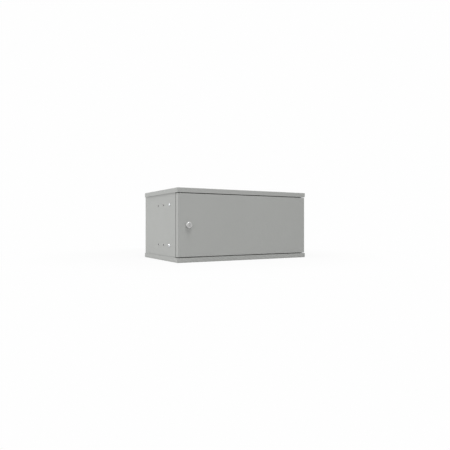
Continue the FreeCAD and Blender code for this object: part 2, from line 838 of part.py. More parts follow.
def make_hinge_spring(name, level, turn):
    """A compression spring between the lower leg of the U bracket and the snap ring."""
    wire = s.spring_wire.number
    radius = (s.spring_across.number - wire) / 2
    play = wire / 2 + s.thread_clearance.number
    low = play - collar_level.number
    rise = 2 * collar_level.number - s.clip_sheet.number - 2 * play
    steps = SPRING_TURNS * SPRING_STEPS
    corners = []
    for step in range(steps + 1):
        angle = 2 * math.pi * step / SPRING_STEPS
        corners.append(Vector(radius * math.cos(angle), radius * math.sin(angle), low + rise * step / steps))
    along = (corners[1] - corners[0]).normalize()
    upward = along.cross(Vector(1, 0, 0)).normalize()
    outward = upward.cross(along).normalize()
    section = [corners[0] + outward * (wire / 2 * across) + upward * (wire / 2 * up)
               for across, up in ((1, 1), (-1, 1), (-1, -1), (1, -1), (1, 1))]
    path = Part.Wire(Part.makePolygon(corners).Edges)
    spring = doc.addObject("Part::Feature", name)
    spring.Label = name
    mitred = 1
    spring.Shape = path.makePipeShell([Part.makePolygon(section)], True, False, mitred)
    put(spring, x=hinge_x, y=hinge_y, z=level, turn=turn)
    PIECES[name] = spring


for upright, place, end_turn in (("upper", 1, NO_TURN), ("lower", -1, TURN_ABOUT_X)):
    make_hinge_bracket(upright + "_hinge_bracket", place * skirt_edge, end_turn)
    make_pin_bracket(upright + "_pin_bracket", place * bracket_middle)
    make_hinge_pin(upright + "_hinge_pin", place * bracket_middle, end_turn)
    make_pin_clip(upright + "_pin_clip", place * bracket_middle, end_turn)
    make_hinge_spring(upright + "_hinge_spring", place * bracket_middle, end_turn)


# ---------------------------------------------------------------- cam lock, its Z axis out of the door

FACE_OUT = FreeCAD.Rotation(Vector(1, 0, 0), 90)


def put_on_lock(body):
    put(body, x=lock_x, y=front, z=0, turn=FACE_OUT)


def make_lock_body():
    body = new_piece("lock_body")
    bore = s.rotor_across / 2 + s.rotor_clearance
    head, barrel = s.lock_head / 2, s.lock_barrel / 2
    rim = s.lock_protrusion
    revolve(body, "turned", [(bore, -barrel_length), (barrel, -barrel_length), (barrel, 0), (head, 0),
                             (head, rim), (bore, rim)])
    round_edges(body, "rim", s.lock_rim_radius,
                lambda edge, middle: near(middle.z, rim) and near(math.hypot(middle.x, middle.y), head))

    def draw_flats(k):
        for side in (-1, 1):
            draw_rectangle(k, -head, head, side * s.lock_flats / 2, side * head)

    pocket(body, "flats", "XY", -barrel_length, 0, draw_flats)
    put_on_lock(body)


def make_lock_washer():
    body = new_piece("lock_washer")
    high = -s.door_sheet
    low = high - s.lock_washer_sheet
    pad(body, "washer", "XY", low, high, lambda k: draw_circle(k, 0, 0, s.lock_washer_across / 2))
    pocket(body, "bore", "XY", low, high,
           lambda k: draw_circle(k, 0, 0, s.lock_barrel / 2 + s.thread_clearance))
    put_on_lock(body)


def make_lock_nut():
    body = new_piece("lock_nut")
    high = -s.door_sheet - s.lock_washer_sheet
    low = high - s.lock_nut_height
    pad(body, "hexagon", "XY", low, high, lambda k: draw_hexagon(k, s.lock_nut_flats))
    pocket(body, "bore", "XY", low, high,
           lambda k: draw_circle(k, 0, 0, s.lock_barrel / 2 + s.thread_clearance))
    put_on_lock(body)


def make_lock_rotor():
    body = new_piece("lock_rotor")
    face = s.lock_protrusion - s.rotor_recess
    tail = -barrel_length - s.cam_sheet
    pad(body, "plug", "XY", -barrel_length, face, lambda k: draw_circle(k, 0, 0, s.rotor_across / 2))
    half = s.rotor_square / 2
    pad(body, "square", "XY", tail, -barrel_length, lambda k: draw_rectangle(k, -half, half, -half, half))
    pocket(body, "keyway", "XY", face - s.keyway_depth, face,
           lambda k: draw_slot(k, 0, 0, s.keyway_length, s.keyway_width, upright=True))
    pocket(body, "screw_hole", "XY", tail, tail + s.cam_screw_length,
           lambda k: draw_circle(k, 0, 0, s.small_screw / 2 + s.thread_clearance))
    put_on_lock(body)


def make_lock_cam():
    """The cam hangs down when unlocked and turns behind the left return to lock."""
    body = new_piece("lock_cam")
    high = -barrel_length
    low = high - s.cam_sheet
    pad(body, "hub", "XY", low, high, lambda k: draw_circle(k, 0, 0, s.cam_hub / 2))
    pad(body, "arm", "XY", low, high,
        lambda k: draw_rectangle(k, -s.cam_width / 2, s.cam_width / 2, -s.cam_reach, 0))
    round_edges(body, "tip_corners", s.cam_width / 5,
                lambda edge, middle: near(middle.y, -s.cam_reach) and near(abs(middle.x), s.cam_width / 2))
    half = s.rotor_square / 2 + s.rotor_clearance
    pocket(body, "square_hole", "XY", low, high, lambda k: draw_rectangle(k, -half, half, -half, half))
    put_on_lock(body)


def make_cam_washer():
    body = new_piece("cam_washer")
    high = -barrel_length - s.cam_sheet
    low = high - s.cam_washer_sheet
    pad(body, "washer", "XY", low, high, lambda k: draw_circle(k, 0, 0, s.cam_washer_across / 2))
    pocket(body, "bore", "XY", low, high,
           lambda k: draw_circle(k, 0, 0, s.small_screw / 2 + s.thread_clearance))
    put_on_lock(body)


make_lock_body()
make_lock_washer()
make_lock_nut()
make_lock_rotor()
make_lock_cam()
make_cam_washer()


# ---------------------------------------------------------------- fasteners, seated at height 0

def make_flange_nut(name, thread, flats, flange, height):
    body = new_body(name)
    bore = thread / 2 + s.thread_clearance
    pad(body, "hexagon", "XY", 0, height, lambda k: draw_hexagon(k, flats))
    pad(body, "flange", "XY", 0, s.nut_flange_sheet, lambda k: draw_circle(k, 0, 0, flange / 2))
    pocket(body, "bore", "XY", 0, height, lambda k: draw_circle(k, 0, 0, bore))
    return body


# The crown of a pan head in shares of its rim radius and height, and the reach of its cross.
PAN_CROWN = ((1, 0.45), (0.9, 0.82), (0.65, 1))
CROSS_REACH = 0.25


def make_pan_screw(name, thread, length, head, head_height):
    """A pan head above height 0 with a cross recess, and its shank below."""
    body = new_body(name)
    rim = head / 2
    crown = [(rim * across, head_height * up) for across, up in PAN_CROWN]
    revolve(body, "turned", [(0, -length), (thread / 2, -length), (thread / 2, 0), (rim, 0)]
            + crown + [(0, head_height)])
    half = s.cross_recess_width / 2
    arm = head * CROSS_REACH
    cross = [(half, half), (arm, half), (arm, -half), (half, -half), (half, -arm), (-half, -arm),
             (-half, -half), (-arm, -half), (-arm, half), (-half, half), (-half, arm), (half, arm)]
    pocket(body, "cross_recess", "XY", head_height - s.small_screw_recess, head_height,
           lambda k: draw_polygon(k, cross[::-1]))
    return body


def make_washer(name, thread, across, sheet_thickness):
    body = new_body(name)
    pad(body, "washer", "XY", 0, sheet_thickness, lambda k: draw_circle(k, 0, 0, across / 2))
    pocket(body, "bore", "XY", 0, sheet_thickness,
           lambda k: draw_circle(k, 0, 0, thread / 2 + s.thread_clearance))
    return body


stud_nut = make_flange_nut("stud_nut_master", s.stud_across, s.nut_flats, s.nut_flange, s.nut_height)
rail_nut = make_flange_nut("rail_nut_master", s.rail_bolt, s.rail_nut_flats, s.rail_nut_flange,
                           s.rail_nut_height)
rail_screw = make_pan_screw("rail_screw_master", s.rail_bolt, s.rail_bolt_length, s.rail_bolt_head,
                            s.rail_bolt_head_height)
entry_screw = make_pan_screw("entry_screw_master", s.small_screw, s.cover_sheet + s.entry_plate_sheet,
                             s.small_screw_head, s.small_screw_head_height)
cam_screw = make_pan_screw("cam_screw_master", s.small_screw, s.cam_screw_length, s.small_screw_head,
                           s.small_screw_head_height)
earth_washer = make_washer("earth_washer_master", s.earth_stud, s.earth_washer_across,
                           s.earth_washer_sheet)
earth_nut = make_flange_nut("earth_nut_master", s.earth_stud, s.earth_nut_flats, s.earth_nut_flange,
                            s.earth_nut_height)

for cover, end in (("top", 1), ("bottom", -1)):
    nut_places = []
    for across, along in cover_studs():
        nut_places.append(((across, along, end * (inner_half_height - s.side_sheet)), (0, 0, -end)))
    new_group(cover + "_cover_nuts", stud_nut, nut_places)
    plate_face = end * (inner_half_height - s.entry_plate_sheet)
    new_group(cover + "_entry_screws", entry_screw,
              [((across, along, plate_face), (0, 0, -end)) for across, along in entry_screws()])

for label, side in (("left", -1), ("right", 1)):
    rows = [end * s.side_hole_row for end in (-1, 1)]
    depth = front + s.rail_screw_depth
    new_group(label + "_rail_screws", rail_screw,
              [((side * side_face, depth, row), (side, 0, 0)) for row in rows])
    new_group(label + "_rail_nuts", rail_nut,
              [((side * (side_inner - s.rail_sheet), depth, row), (-side, 0, 0)) for row in rows])

new_group("back_panel_nuts", stud_nut,
          [((side * (side_inner - s.back_sheet), -s.back_stud_inset, end * s.back_stud_row), (-side, 0, 0))
           for side in (-1, 1) for end in (-1, 1)])
new_group("cam_screw", cam_screw,
          [((lock_x, front + barrel_length + s.cam_sheet + s.cam_washer_sheet, 0), (0, 1, 0))])

body_face = -s.back_sheet
door_face = front + s.door_sheet
door_earth_z = earth_z + s.earth_from_floor
for label, across, face, up, away in (("body", earth_x, body_face, earth_z, -1),
                                      ("door", -earth_x, door_face, door_earth_z, 1)):
    new_group(label + "_earth_washer", earth_washer, [((across, face, up), (0, away, 0))])
    new_group(label + "_earth_nut", earth_nut,
              [((across, face + away * s.earth_washer_sheet, up), (0, away, 0))])


# ---------------------------------------------------------------- test and write

doc.recompute()
for thing in doc.Objects:
    if "Invalid" in thing.State or "Error" in thing.State:
        raise RuntimeError("%s failed: %s" % (thing.Name, thing.State))
os.makedirs("parts", exist_ok=True)
for name, piece in PIECES.items():
    if piece.Shape.isNull() or not piece.Shape.isValid():
        raise RuntimeError("%s has no valid shape" % name)
    piece.Shape.exportStep(os.path.join("parts", name + ".step"))
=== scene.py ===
import json
import math

import bmesh
import bpy
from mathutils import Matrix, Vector


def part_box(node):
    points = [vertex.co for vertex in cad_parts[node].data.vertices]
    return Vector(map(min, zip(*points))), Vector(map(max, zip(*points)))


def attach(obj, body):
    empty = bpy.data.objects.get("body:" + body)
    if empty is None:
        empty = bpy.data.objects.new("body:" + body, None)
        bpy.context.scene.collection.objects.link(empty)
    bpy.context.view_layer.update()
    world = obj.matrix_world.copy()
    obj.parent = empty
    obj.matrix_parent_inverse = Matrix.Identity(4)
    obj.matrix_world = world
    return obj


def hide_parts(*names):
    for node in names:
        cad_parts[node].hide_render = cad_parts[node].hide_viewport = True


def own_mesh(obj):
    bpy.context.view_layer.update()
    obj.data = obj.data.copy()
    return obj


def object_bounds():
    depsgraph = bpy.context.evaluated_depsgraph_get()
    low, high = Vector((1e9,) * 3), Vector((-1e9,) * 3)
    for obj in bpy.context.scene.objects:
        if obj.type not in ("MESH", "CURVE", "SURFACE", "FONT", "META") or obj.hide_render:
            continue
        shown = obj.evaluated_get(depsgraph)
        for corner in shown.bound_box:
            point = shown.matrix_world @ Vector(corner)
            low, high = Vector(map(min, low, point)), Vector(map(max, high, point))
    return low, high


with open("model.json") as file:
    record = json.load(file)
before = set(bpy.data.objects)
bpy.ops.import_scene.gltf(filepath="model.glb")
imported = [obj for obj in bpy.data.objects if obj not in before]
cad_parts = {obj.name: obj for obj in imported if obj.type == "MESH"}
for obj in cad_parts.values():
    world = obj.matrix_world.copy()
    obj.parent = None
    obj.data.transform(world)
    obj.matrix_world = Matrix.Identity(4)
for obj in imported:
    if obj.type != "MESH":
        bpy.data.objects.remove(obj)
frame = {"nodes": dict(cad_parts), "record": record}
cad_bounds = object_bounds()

bl_info = {
    "name": "Wall Mount Network Cabinet",
    "version": (1, 0, 0),
    "blender": (4, 5, 0),
    "location": "View3D > Sidebar > Cabinet",
    "description": "Paints a folded sheet cabinet and makes its lock, springs and fasteners",
    "category": "Object",
}

MM = 0.001
UP = Vector((0, 0, 1))
WHITE = (1, 1, 1)
BLACK = (0, 0, 0)
BACKGROUND_LEVEL = 0.992  # strength of the white background
SENSOR_WIDTH = 36  # of the camera, in millimetres
SMOOTH_BELOW = math.radians(32)  # edges that turn less are shaded smooth
THREAD_PLAY = 0.05 * MM  # gap between a thread and its nut
CORE_PLAY = 0.06 * MM  # gap between the lock's core and its housing


# ---------------------------------------------------------------- settings

def length(name, description, default):
    return bpy.props.FloatProperty(name=name, description=description, default=default,
                                   min=0, unit="LENGTH", precision=5)


def share(name, description, default):
    return bpy.props.FloatProperty(name=name, description=description, default=default,
                                   min=0, max=1, subtype="FACTOR")


def power(name, description, default):
    return bpy.props.FloatProperty(name=name, description=description, default=default,
                                   min=0, unit="POWER")


def angle(name, description, degrees):
    return bpy.props.FloatProperty(name=name, description=description,
                                   default=math.radians(degrees), subtype="ANGLE", unit="ROTATION")


def colour(name, description, default):
    return bpy.props.FloatVectorProperty(name=name, description=description, default=default,
                                         size=3, min=0, max=1, subtype="COLOR")


class PaintSettings(bpy.types.PropertyGroup):
    paint: colour("Powder coat", "Light grey of the sheet pieces", (0.425, 0.432, 0.418))
    dust: colour("Dust", "Fine dust on faces that look up", (0.62, 0.60, 0.56))
    peel_size: length("Orange peel", "Width of one dimple in the powder coat", 1.3 * MM)
    peel_depth: length("Peel depth", "Depth of one dimple", 0.018 * MM)
    shine: share("Roughness", "Roughness of the powder coat", 0.52)
    # painted shade: darkens the bends, where their rounding would catch the light
    bend_shade: share("Bend shade", "How much the painted shade darkens the bends", 0.24)
    # The next two settings paint shade into the seam between the door and the side panels, and set
    # its reach.
    seam_shade: share("Seam shade", "How much the painted shade darkens the seam behind the door", 0.45)
    seam_width: length("Seam width", "Reach of the painted shade from the seam's middle", 3.4 * MM)


class MetalSettings(bpy.types.PropertyGroup):
    zinc: colour("Zinc", "Galvanised rails", (0.50, 0.515, 0.53))
    plating: colour("Bright plating", "Bright zinc plate of the small pieces", (0.74, 0.76, 0.78))
    steel: colour("Spring steel", "Drawn spring wire", (0.40, 0.40, 0.41))
    nickel: colour("Lock plating", "Satin nickel of the lock head", (0.49, 0.49, 0.485))
    core: colour("Rotor", "Turned metal of the lock core", (0.42, 0.42, 0.41))
    rubber: colour("Rubber", "Moulded rubber of the door bumpers", (0.025, 0.025, 0.027))


class LockSettings(bpy.types.PropertyGroup):
    head_across: length("Head", "Diameter of the lock head", 24 * MM)
    rim_radius: length("Rim radius", "Rounding of the head's rim", 2.6 * MM)
    face_ring: length("Face ring", "Diameter of the groove around the core", 16.5 * MM)
    barrel_across: length("Barrel", "Diameter over the barrel's thread", 18 * MM)
    barrel_flats: length("Flats", "Size across the barrel's flats", 16 * MM)
    barrel_pitch: length("Barrel pitch", "Pitch of the barrel's thread", 1.5 * MM)
    core_across: length("Core", "Diameter of the lock core", 12.4 * MM)
    core_square: length("Core square", "Size across the square that turns the cam", 7 * MM)
    nut_flats: length("Nut", "Size across the lock nut's flats", 23 * MM)
    key_length: length("Key slot length", "Length of the key slot", 7 * MM)
    key_width: length("Key slot width", "Width of the key slot", 1.6 * MM)
    key_depth: length("Key slot depth", "Depth of the dust shutter in the key slot", 1.3 * MM)


class FastenerSettings(bpy.types.PropertyGroup):
    rail_bolt: length("Rail screw", "Thread diameter of the rail screws", 5 * MM)
    rail_head: length("Rail screw head", "Diameter of the rail screw heads", 10 * MM)
    rail_recess: length("Rail screw recess", "Depth of the cross in a rail screw", 1.9 * MM)
    rail_flats: length("Rail nut", "Size across the rail nuts' flats", 8 * MM)
    rail_flange: length("Rail nut flange", "Diameter of the rail nuts' flange", 11.8 * MM)
    earth_stud: length("Earth stud", "Thread diameter of the earth studs", 6 * MM)
    earth_flats: length("Earth nut", "Size across the earth nuts' flats", 10 * MM)
    earth_flange: length("Earth nut flange", "Diameter of the earth nuts' flange", 14 * MM)
    stud: length("Stud", "Thread diameter of the weld studs", 5 * MM)
    stud_flats: length("Stud nut", "Size across the stud nuts' flats", 8 * MM)
    stud_flange: length("Stud nut flange", "Diameter of the stud nuts' flange", 11.4 * MM)
    small_screw: length("Small screw", "Thread diameter of the small screws", 4 * MM)
    small_head: length("Small screw head", "Diameter of the small screw heads", 8 * MM)
    small_recess: length("Small screw recess", "Depth of the cross in a small screw", 1.3 * MM)
    spring_wire: length("Spring wire", "Wire diameter of the hinge springs", 1 * MM)
    spring_turns: bpy.props.IntProperty(name="Spring turns", default=6, min=2, max=20,
                                        description="Working turns between the closed end turns")


class StageSettings(bpy.types.PropertyGroup):
    camera_place: bpy.props.FloatVectorProperty(
        name="Camera", description="Where the camera stands", size=3, subtype="TRANSLATION",
        unit="LENGTH", default=(-0.9464, -1.8239, 0.0004))
    camera_heading: angle("Heading", "Turn of the level camera to the right of the wall", 29.884)
    lens: bpy.props.FloatProperty(name="Lens", description="Focal length in millimetres",
                                  default=35, min=1, unit="CAMERA")
    floor_width: length("Floor", "Width of the square floor", 12.0)
    front_strip: power("Front strip light", "Power of the strip in front of the door", 52)
    front_top: power("Front top light", "Power of the light almost above the door", 50)
    left_strip: power("Left strip light", "Power of the strip beside the left side", 52)
    left_top: power("Left top light", "Power of the light almost above the left side", 24)
    left_softbox: power("Left softbox", "Power of the softbox left of the cabinet", 23)
    front_softbox: power("Front softbox", "Power of the softbox in front of the door", 8)
    light_distance: length("Light distance", "Distance of the strip and top lights", 4.0)
    strip_height: angle("Strip elevation", "Elevation of both strip lights", 68)
    top_height: angle("Top light elevation", "Elevation of both top lights", 80.5)
    room: bpy.props.FloatProperty(name="Room light", default=0.28, min=0,
                                  description="Strength of the light from all around")


# ---------------------------------------------------------------- shader nodes

class Signal:
    """A socket of a node tree that maths can be written on."""

    def __init__(self, nodes, socket):
        self.nodes = nodes
        self.socket = socket

    def joined(self, operation, other):
        return self.nodes.add("ShaderNodeMath", {0: self, 1: other}, operation=operation)["Value"]

    def __add__(self, other):
        return self.joined("ADD", other)

    __radd__ = __add__

    def __sub__(self, other):
        return self.joined("SUBTRACT", other)

    def __mul__(self, other):
        return self.joined("MULTIPLY", other)

    def larger(self, other):
        return self.joined("MAXIMUM", other)

    def size(self):
        return self.joined("ABSOLUTE", 0)


class Added:
    """A node of a tree, whose outputs are read by name."""

    def __init__(self, nodes, node):
        self.nodes = nodes
        self.node = node

    def __getitem__(self, name):
        return Signal(self.nodes, self.node.outputs[name])


class NodeTree:
    """A tree that nodes are added to, with a value or a signal for each socket by name."""

    def __init__(self, tree):
        self.tree = tree

    def add(self, kind, values=None, **settings):
        node = self.tree.nodes.new(kind)
        for key, value in settings.items():
            setattr(node, key, value)
        for key, value in (values or {}).items():
            self.feed(node.inputs[key], value)
        return Added(self, node)

    def feed(self, socket, value):
        if isinstance(value, Signal):
            self.tree.links.new(value.socket, socket)
        elif socket.type == "RGBA":
            socket.default_value = (*value, 1)
        else:
            socket.default_value = value

    def background_rays(self):
        """1 for the rays that show the white background, also in metal and through glass."""
        rays = self.add("ShaderNodeLightPath")
        seen = rays["Is Camera Ray"].larger(rays["Is Glossy Ray"])
        return seen.larger(rays["Is Transmission Ray"])


class Shader(NodeTree):
    """A material's node tree, built on its Principled shader."""

    def __init__(self, name, shift=(0, 0, 0)):
        self.material = bpy.data.materials.new(name)
        self.material.use_nodes = True
        super().__init__(self.material.node_tree)
        self.surface = self.tree.nodes["Principled BSDF"]
        self.place = self.add("ShaderNodeTexCoord")["Object"]
        self.shifted = self.mapped(self.place, Location=shift)

    def mapped(self, vector, **values):
        """A place that is moved by a Location or stretched by a Scale."""
        return self.add("ShaderNodeMapping", {"Vector": vector, **values})["Vector"]

    def set(self, **values):
        """Sets or links the Principled shader's sockets, written with _ for a space."""
        for key, value in values.items():
            self.feed(self.surface.inputs[key.replace("_", " ")], value)

    def noise(self, width, detail, stretch=None):
        """Noise from 0 to 1 whose patches are about the width across."""
        vector = self.mapped(self.shifted, Scale=stretch) if stretch else self.shifted
        values = {"Vector": vector, "Scale": 1 / width, "Detail": detail}
        return self.add("ShaderNodeTexNoise", values)["Fac"]

    def cells(self, width):
        """A random level for each cell of a crystal pattern."""
        cell = self.add("ShaderNodeTexVoronoi", {"Vector": self.shifted, "Scale": 1 / width})
        return self.add("ShaderNodeSeparateColor", {"Color": cell["Color"]})["Red"]

    def step(self, signal, start, end, low=0, high=1):
        """A smooth step from low to high as the signal goes from start to end."""
        values = {"Value": signal, "From Min": start, "From Max": end,
                  "To Min": low, "To Max": high}
        return self.add("ShaderNodeMapRange", values, interpolation_type="SMOOTHSTEP")["Result"]

    def blend(self, factor, first, second):
        """A colour between two colours."""
        node = self.add("ShaderNodeMix", data_type="RGBA").node
        inputs = {socket.identifier: socket for socket in node.inputs}
        outputs = {socket.identifier: socket for socket in node.outputs}
        for name, value in (("Factor_Float", factor), ("A_Color", first), ("B_Color", second)):
            self.feed(inputs[name], value)
        return Signal(self, outputs["Result_Color"])

    def split(self, vector):
        """The X, Y and Z parts of a vector."""
        return self.add("ShaderNodeSeparateXYZ", {"Vector": vector})

    def bump(self, height, depth):
        """Surface relief of the given depth in metres."""
        values = {"Height": height, "Distance": depth, "Strength": 1}
        return self.add("ShaderNodeBump", values)["Normal"]


def tone(base, factor):
    """The colour made lighter or darker by a factor."""
    return tuple(min(1, channel * factor) for channel in base)


# ---------------------------------------------------------------- materials

# Powder coat: widths of its patterns, and the tones and strengths that they bring.
PATCH_WIDTH, PATCH_TONES = 110 * MM, (0.975, 1.025)
SPECKLE_WIDTH, SPECKLE_TONE, SPECKLE_SHARE = 0.4 * MM, 0.94, 0.35
SMUDGE_WIDTH, SMUDGE_ROUGHNESS = 35 * MM, 0.14
# width of the patches that break up the painted shade on the bends, and how much glossier those
# bends are from wear
SHADE_AND_WEAR_WIDTH, WEAR_SHINE = 12 * MM, 0.08
DUST_WIDTH, DUST_SHARE, DUST_ROUGHNESS = 20 * MM, 0.16, 0.2
# colour and added roughness of the painted shade in the seam beside the door
SEAM_SHADE_COLOUR, SEAM_ROUGHNESS = (0.02, 0.02, 0.02), 0.2
COAT_REFLECTION = 0.35
# Largest part of the surface's direction on a flat face and in a bend, and its upward part
# from the underside to a side and from a slope to a level top.
FLAT_TO_BENT, UNDER_TO_SIDE, SLOPE_TO_LEVEL = (0.995, 0.9), (-0.6, -0.2), (0.75, 1)


def powder_coat(name, shift, seam):
    """Light grey powder coat with orange peel, with painted shade round the bends and along the
    seam.

    seam holds the distance from the middle and the depth of the seam beside the door."""
    look = bpy.context.scene.cabinet_paint
    shader = Shader(name, shift)
    patches = shader.noise(PATCH_WIDTH, 3)
    speckle = shader.noise(SPECKLE_WIDTH, 1)
    smudges = shader.noise(SMUDGE_WIDTH, 4)
    facing = shader.split(shader.add("ShaderNodeNewGeometry")["Normal"])
    largest = facing["X"].size().larger(facing["Y"].size()).larger(facing["Z"].size())
    # painted shade on bends that face sideways or up, where their rounding catches the light; the
    # same mask makes them glossier from wear
    bend_shade_and_wear = shader.step(largest, *FLAT_TO_BENT) * shader.step(facing["Z"], *UNDER_TO_SIDE)
    bend_shade_and_wear = bend_shade_and_wear * shader.step(shader.noise(SHADE_AND_WEAR_WIDTH, 3), 0.35, 0.65, low=0.7)
    settled = shader.step(facing["Z"], *SLOPE_TO_LEVEL)
    settled = settled * shader.step(shader.noise(DUST_WIDTH, 4), 0.4, 0.75)
    place = shader.split(shader.place)
    gap = (place["X"].size() - seam[0]).size().larger((place["Y"] - seam[1]).size())
    # painted shade in the seam between the door and the side panels, broken up in patches
    painted_seam_shade = shader.step(gap, look.seam_width, look.seam_width / 2)
    painted_seam_shade = painted_seam_shade * shader.step(shader.noise(DUST_WIDTH, 3), 0.3, 0.6, low=0.8)
    paint = shader.blend(patches, *(tone(look.paint, level) for level in PATCH_TONES))
    specks = shader.step(speckle, 0.35, 0.7) * SPECKLE_SHARE
    paint = shader.blend(specks, paint, tone(look.paint, SPECKLE_TONE))
    # painted shade on the bends
    paint = shader.blend(bend_shade_and_wear * look.bend_shade, paint, BLACK)
    # painted shade in the seam beside the door
    paint = shader.blend(painted_seam_shade * look.seam_shade, paint, SEAM_SHADE_COLOUR)
    paint = shader.blend(settled * DUST_SHARE, paint, look.dust)
    dullness = look.shine + (smudges - 0.5) * SMUDGE_ROUGHNESS - bend_shade_and_wear * WEAR_SHINE
    dullness = dullness + settled * DUST_ROUGHNESS + painted_seam_shade * SEAM_ROUGHNESS
    peel = shader.noise(look.peel_size, 2)
    shader.set(Base_Color=paint, Roughness=dullness, Normal=shader.bump(peel, look.peel_depth),
               Specular_IOR_Level=COAT_REFLECTION)
    return shader.material


# Zinc plate
SPANGLE_TONES, ZINC_ROUGHNESS, SPANGLE_ROUGHNESS = (0.90, 1.06), 0.26, 0.08
HAZE_WIDTH, HAZE_TONE, HAZE_SHARE, HAZE_ROUGHNESS = 18 * MM, 0.84, 0.35, 0.2
ROLL_WIDTH, ROLL_DEPTH, ROLL_ROUGHNESS = 0.6 * MM, 0.004 * MM, 0.06
ROLLED_UPRIGHT = (1, 1, 0.04)  # draws the rolling marks out along the rails


def zinc_plate(name, shift=(0, 0, 0), spangle=9 * MM, rolled=None):
    """Zinc on steel: faint spangle, rolling marks and handling haze."""
    look = bpy.context.scene.cabinet_metal
    base = look.zinc if rolled else look.plating
    shader = Shader(name, shift)
    crystal = shader.cells(spangle)
    haze = shader.noise(HAZE_WIDTH, 4)
    marks = shader.noise(ROLL_WIDTH, 2, rolled)
    skin = shader.blend(crystal, *(tone(base, level) for level in SPANGLE_TONES))
    hazy = shader.step(haze, 0.45, 0.8) * HAZE_SHARE
    skin = shader.blend(hazy, skin, tone(base, HAZE_TONE))
    dullness = ZINC_ROUGHNESS + crystal * SPANGLE_ROUGHNESS + (haze - 0.5) * HAZE_ROUGHNESS
    shader.set(Base_Color=skin, Metallic=1.0, Roughness=dullness + marks * ROLL_ROUGHNESS,
               Normal=shader.bump(marks, ROLL_DEPTH))
    return shader.material


# Plated and turned metal
TARNISH_WIDTH, TARNISH_TONE, TARNISH_ROUGHNESS = 6 * MM, 0.86, 0.12
TOOL_MARK_WIDTH, TOOL_MARK_DEPTH, TOOL_MARK_ROUGHNESS = 0.25 * MM, 0.002 * MM, 0.06


def turned_metal(name, base, roughness, metal=1.0):
    """Plated or turned metal with fine tool marks and a little tarnish in patches."""
    shader = Shader(name)
    tarnish = shader.noise(TARNISH_WIDTH, 3)
    lines = shader.noise(TOOL_MARK_WIDTH, 2)
    skin = shader.blend(shader.step(tarnish, 0.4, 0.8), base, tone(base, TARNISH_TONE))
    dullness = roughness + (tarnish - 0.5) * TARNISH_ROUGHNESS
    shader.set(Base_Color=skin, Metallic=metal,
               Roughness=dullness + (lines - 0.5) * TOOL_MARK_ROUGHNESS,
               Normal=shader.bump(lines, TOOL_MARK_DEPTH))
    return shader.material


# Rubber
BLOOM_WIDTH, BLOOM_TONE, BLOOM_SHARE, BLOOM_ROUGHNESS = 4 * MM, 2.4, 0.5, 0.2
GRAIN_WIDTH, GRAIN_DEPTH, RUBBER_ROUGHNESS = 0.3 * MM, 0.02 * MM, 0.62


def moulded_rubber(name, base):
    """Dull black rubber with a fine grain and a pale bloom in patches."""
    shader = Shader(name)
    bloom = shader.noise(BLOOM_WIDTH, 3)
    grain = shader.noise(GRAIN_WIDTH, 2)
    pale = shader.step(bloom, 0.4, 0.8) * BLOOM_SHARE
    shader.set(Base_Color=shader.blend(pale, base, tone(base, BLOOM_TONE)),
               Roughness=RUBBER_ROUGHNESS + bloom * BLOOM_ROUGHNESS,
               Normal=shader.bump(grain, GRAIN_DEPTH))
    return shader.material


# ---------------------------------------------------------------- modelling steps

def deselect_all():
    if bpy.context.object and bpy.context.object.mode != "OBJECT":
        bpy.ops.object.mode_set(mode="OBJECT")
    bpy.ops.object.select_all(action="DESELECT")


def take(piece):
    """Makes the piece the only one selected, and the active one."""
    deselect_all()
    piece.select_set(True)
    bpy.context.view_layer.objects.active = piece


def settle():
    """Puts the active piece's place, turn and scale into its mesh."""
    bpy.ops.object.transform_apply(location=True, rotation=True, scale=True)


def started(name):
    """Names the primitive just added and settles it."""
    piece = bpy.context.object
    piece.name = piece.data.name = name
    settle()
    return piece


def select_parts(piece, layer, test):
    """In edit mode, selects only the vertices or faces of the layer that pass the test."""
    mesh = bmesh.from_edit_mesh(piece.data)
    bpy.ops.mesh.select_all(action="DESELECT")
    for part in getattr(mesh, layer):
        part.select_set(test(part))
    mesh.select_flush(True)
    bmesh.update_edit_mesh(piece.data)


def turned(name, profile, sides=48, ring=False):
    """Turned work: a circle extruded through the profile's points of radius and height.

    The outline of a ring closes on itself; other work is closed by its two end faces."""
    deselect_all()
    radius, height = profile[0]
    bpy.ops.mesh.primitive_circle_add(vertices=sides, radius=radius, location=(0, 0, height),
                                      fill_type="NOTHING" if ring else "NGON")
    piece = started(name)
    bpy.ops.object.mode_set(mode="EDIT")
    bpy.ops.mesh.select_all(action="SELECT")
    for across, up in profile[1:]:
        bpy.ops.mesh.extrude_region_move(TRANSFORM_OT_translate={"value": (0, 0, up - height)})
        scale = across / radius
        bpy.ops.transform.resize(value=(scale, scale, 1))
        radius, height = across, up
    if ring:
        bpy.ops.mesh.select_all(action="DESELECT")
        bpy.ops.mesh.select_non_manifold()
        bpy.ops.mesh.bridge_edge_loops()
    face_outwards()
    return piece


def face_outwards():
    """In edit mode, turns all faces to look outwards, then leaves it."""
    bpy.ops.mesh.select_all(action="SELECT")
    bpy.ops.mesh.normals_make_consistent(inside=False)
    bpy.ops.object.mode_set(mode="OBJECT")


def arc(across, up, radius, start, end, steps):
    """Points of a profile along an arc, its angles in degrees from the radius direction."""
    angles = [math.radians(start + (end - start) * step / steps) for step in range(steps + 1)]
    return [(across + radius * math.cos(angle), up + radius * math.sin(angle)) for angle in angles]


